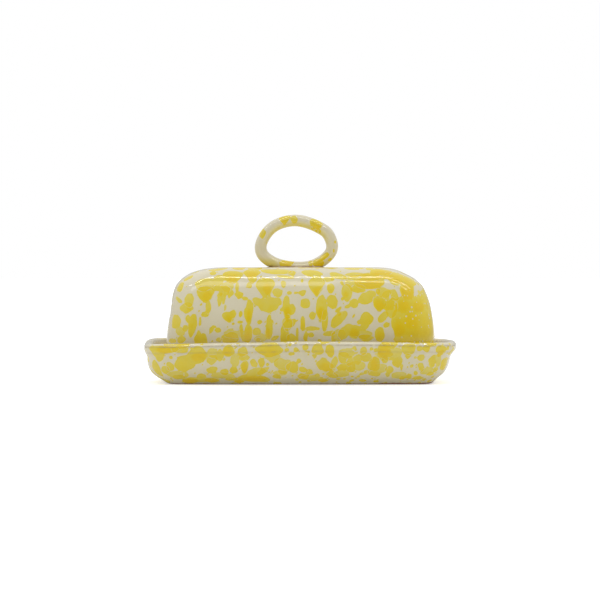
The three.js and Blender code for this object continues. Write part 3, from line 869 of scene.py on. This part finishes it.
def dots(tree, place, cell, largest, smallest=0.0, power=1.0):
    """1 inside dots of random sizes, one to a cell: cell, largest and smallest are in mm.

    The higher the power, the fewer of the dots are large.
    """
    cells = node(tree, "TexVoronoi", {"Vector": place, "Scale": 1 / (cell * MM)})
    pick = node(tree, "SeparateColor", {"Color": cells.outputs["Color"]}).outputs[0]
    radius = remap(tree, calc(tree, "POWER", pick, power), 0.0, 1.0, smallest / cell, largest / cell)
    inside = calc(tree, "SUBTRACT", radius, cells.outputs["Distance"])
    return remap(tree, inside, -0.04 / cell, 0.04 / cell)


def new_material(name):
    material = bpy.data.materials.new(name)
    material.use_nodes = True
    return material, material.node_tree, material.node_tree.nodes["Principled BSDF"]


RAGGED = 0.9  # mm, how far noise moves a splash's edge
CREAM = np.array([0.78, 0.72, 0.525])
PER_DEPTH = np.array([0.04, -0.09, -2.3])  # how fast each colour grows or dies with the film's depth
DEEPEST = 4.0
FULL_TONE = 2.3  # where the colour stops deepening


def film_colour(tree, depth):
    """The glaze's colour under this depth of yellow film."""
    ramp = node(tree, "ValToRGB", {"Fac": calc(tree, "DIVIDE", depth, DEEPEST)})
    elements = ramp.color_ramp.elements
    stops = [0, 0.04, 0.08, 0.14, 0.2, 0.3, 0.45, 0.7, 1]
    while len(elements) < len(stops):
        elements.new(0.5)
    for element, stop in zip(elements, stops):
        tone = FULL_TONE * (1 - math.exp(-stop * DEEPEST / FULL_TONE))
        element.position = stop
        element.color = (*np.minimum(CREAM * np.exp(PER_DEPTH * tone), 0.9), 1)
    return ramp.outputs["Color"]


def splatter_glaze():
    """Glossy cream glaze over terracotta, with films of yellow, droplets, pinholes, a few iron specks, and
    brown lines of wear, painted shade and painted reflection.
    """
    material, tree, shader = new_material("splatter_glaze")
    place = node(tree, "TexCoord").outputs["Object"]

    def stored(name, output):
        return node(tree, "Attribute", attribute_name=name).outputs[output]

    splashed = stored("splashed", "Fac")

    # The films' edges, made ragged, and the coat inside them, thickest along the edge
    fine = vector(tree, "SUBTRACT", noise(tree, place, 2.0, 2, output="Color"), (0.5, 0.5, 0.5))
    edge = vector(tree, "MULTIPLY_ADD", fine, (RAGGED,) * 3, stored("film_edge", "Vector"))
    inside = remap_vector(tree, edge, (-0.14, -0.14, -1.9), (0.14, 0.14, 0.3), 1, 0)
    lip = remap_vector(tree, edge, -0.8, -0.1, 1, (1.22, 1.22, 1))
    film = added(tree, vector(tree, "MULTIPLY", inside, lip), stored("film_depth", "Vector"))

    # Where one film lies over another, the lower one shrank back from its edge
    near = remap_vector(tree, edge, 0.0, 0.12, 0, 1)
    far = remap_vector(tree, edge, 0.28, 0.46, 1, 0)
    halo = added(tree, vector(tree, "MULTIPLY", near, far), (1, 1, 0))
    patch = remap(tree, noise(tree, place, 11, 2), 0.40, 0.54, 0.0, 0.9)
    halo = times(tree, calc(tree, "MINIMUM", halo, 1.0), patch)
    film = times(tree, film, calc(tree, "SUBTRACT", 1.0, halo))

    cloud = remap(tree, noise(tree, place, 5, 2), 0.3, 0.7, 0.82, 1.18)
    film = times(tree, film, cloud)
    droplets = times(tree, dots(tree, place, 3.4, 0.85, power=7), splashed)
    film = calc(tree, "MAXIMUM", film, times(tree, droplets, 0.9))
    pins = times(tree, dots(tree, place, 3.4, 0.72, smallest=0.5), stored("fizz", "Fac"))
    film = times(tree, film, calc(tree, "SUBTRACT", 1.0, pins))
    # Extra yellow from the stored values; on the ring it is partly a painted reflection of the lid
    film = calc(tree, "ADD", film, stored("wash", "Fac"))

    glazed = film_colour(tree, film)
    patchy = remap(tree, noise(tree, place, 22, 3), 0.3, 0.7)
    duller = mix(tree, 1.0, glazed, (0.965, 0.95, 0.92, 1), "MULTIPLY")
    glazed = mix(tree, patchy, glazed, duller)
    # Brown from the stored values: glaze rubbed thin, with painted shade in the tray's crease and painted
    # reflection lines on the lip and the ring
    uneven = remap(tree, noise(tree, place, 4, 3), 0.3, 0.6)
    worn = times(tree, stored("worn", "Fac"), uneven)
    glazed = mix(tree, worn, glazed, (0.36, 0.27, 0.19, 1))
    specks = dots(tree, place, 7, 0.28, power=4)
    glazed = mix(tree, times(tree, specks, 0.7), glazed, (0.16, 0.1, 0.05, 1))

    # Bare clay below the line where the glaze was wiped off
    wavering = remap(tree, noise(tree, place, 2.5), 0.3, 0.7, -0.12, 0.12)
    wiped = calc(tree, "ADD", stored("glaze_line", "Fac"), wavering)
    bare = remap(tree, wiped, -0.08, 0.08, 1.0, 0.0)
    grit = remap(tree, noise(tree, place, 0.7, 4, 0.7), 0.3, 0.7)
    clay = mix(tree, grit, (0.27, 0.105, 0.05, 1), (0.4, 0.18, 0.09, 1))
    tree.links.new(mix(tree, bare, glazed, clay), shader.inputs["Base Color"])

    gloss = remap(tree, noise(tree, place, 9, 3), 0.3, 0.7, 0.06, 0.11)
    rough = node(tree, "Mix", {0: bare, 2: gloss, 3: 0.85}, data_type="FLOAT").outputs[0]
    tree.links.new(rough, shader.inputs["Roughness"])
    shader.inputs["IOR"].default_value = 1.52

    # Heights in mm: the glaze's ripple, the film's own thickness and the bare clay's grain
    ripple = times(tree, noise(tree, place, 12, 1), 0.03)
    height = calc(tree, "ADD", times(tree, calc(tree, "MINIMUM", film, 1.5), 0.008), ripple)
    grain = times(tree, times(tree, grit, bare), 0.08)
    bump = node(tree, "Bump", {"Strength": 1.0, "Distance": MM, "Height": calc(tree, "ADD", height, grain)})
    tree.links.new(bump.outputs["Normal"], shader.inputs["Normal"])
    return material


def clay_slip():
    """Slip under a thin cream glaze, stained brown where the glaze drew back from the crease."""
    material, tree, shader = new_material("clay_slip")
    place = node(tree, "TexCoord").outputs["Object"]
    stain = remap(tree, noise(tree, place, 3, 3, 0.6), 0.35, 0.65)
    colour = mix(tree, stain, (0.3, 0.15, 0.07, 1), (0.56, 0.44, 0.26, 1))
    tree.links.new(colour, shader.inputs["Base Color"])
    rough = remap(tree, noise(tree, place, 1.5, 3), 0.3, 0.7, 0.25, 0.5)
    tree.links.new(rough, shader.inputs["Roughness"])
    grit = noise(tree, place, 0.8, 3)
    grain = node(tree, "Bump", {"Strength": 0.5, "Distance": 0.1 * MM, "Height": grit})
    tree.links.new(grain.outputs["Normal"], shader.inputs["Normal"])
    return material


# ---- stage


def seen_directly(tree, otherwise, seen):
    """One number for what the camera sees directly, and another for the light that the dish gets."""
    direct = node(tree, "LightPath").outputs["Is Camera Ray"]
    return node(tree, "Mix", {0: direct, 2: otherwise, 3: seen}, data_type="FLOAT").outputs[0]


def make_floor():
    """A white floor, seen at full brightness, that throws back less light than it seems to."""
    size, drop = 30, -0.0003
    corners = [(x * size, y * size, drop) for x, y in ((-1, -1), (1, -1), (1, 1), (-1, 1))]
    mesh = bpy.data.meshes.new("floor")
    mesh.from_pydata(corners, [], [(0, 1, 2, 3)])
    floor = new_object("floor", mesh)
    material, tree, shader = new_material("floor")
    grey = seen_directly(tree, 0.8, 0.9)
    colour = node(tree, "CombineColor", {0: grey, 1: grey, 2: grey}).outputs[0]
    tree.links.new(colour, shader.inputs["Base Color"])
    shader.inputs["Roughness"].default_value = 0.9
    shader.inputs["Specular IOR Level"].default_value = 0
    shader.inputs["Emission Color"].default_value = (1, 1, 1, 1)
    tree.links.new(seen_directly(tree, 0.1, 0.5), shader.inputs["Emission Strength"])
    mesh.materials.append(material)


def make_world():
    """A studio's light: bright overhead, dim behind the camera. Seen directly it is plain white."""
    world = bpy.data.worlds.new("studio")
    world.use_nodes = True
    bpy.context.scene.world = world
    tree = world.node_tree
    way = node(tree, "SeparateXYZ", {0: node(tree, "TexCoord").outputs["Generated"]})
    high = remap(tree, way.outputs["Z"], 0.1, 0.9, 0.435, 1.18)
    behind = remap(tree, way.outputs["Y"], -0.95, -0.3, -0.25, 0.1)
    strength = seen_directly(tree, calc(tree, "ADD", high, behind), 1.0)
    tree.links.new(strength, tree.nodes["Background"].inputs["Strength"])
    tree.nodes["Background"].inputs["Color"].default_value = (1, 1, 1, 1)


def make_strip(name, elevation, distance, middle, width, depth, power):
    """A long lamp over the camera's side, level along X and facing the dish. middle is its own middle's x."""
    lamp = bpy.data.lights.new(name, "AREA")
    lamp.shape = "RECTANGLE"
    lamp.size, lamp.size_y = width, depth
    lamp.energy = power
    strip = new_object(name, lamp)
    angle = math.radians(elevation)
    strip.location = Vector((middle, 0, 0.07)) + distance * Vector((0, -math.cos(angle), math.sin(angle)))
    strip.rotation_euler = (math.radians(90 - elevation), 0, 0)
    strip.visible_diffuse = False
    return strip


def make_camera():
    """A long lens, level with the dish and square to its long side."""
    camera = new_object("camera", bpy.data.cameras.new("camera"))
    camera.location = (0, -1.5, 0.077)
    aim = Vector((0, 0, 0.0585)) - camera.location
    camera.rotation_euler = aim.to_track_quat("-Z", "Y").to_euler()
    camera.data.lens = 124.8
    bpy.context.scene.camera = camera


make_camera()
make_world()
make_floor()
make_strip("high_strip", 72, 1.2, 0, 2.4, 0.035, 6.5)
make_strip("low_strip", 49, 1.4, -0.55, 1.3, 0.3, 3.1)
make_strip("right_strip", 54, 1.4, 0.62, 1.0, 0.03, 1.7)
bpy.context.scene.view_settings.view_transform = "Standard"

glaze = splatter_glaze()
for made in (make_tray(), make_lid(), make_ring()):
    made.data.materials.append(glaze)
make_bead().data.materials.append(clay_slip())
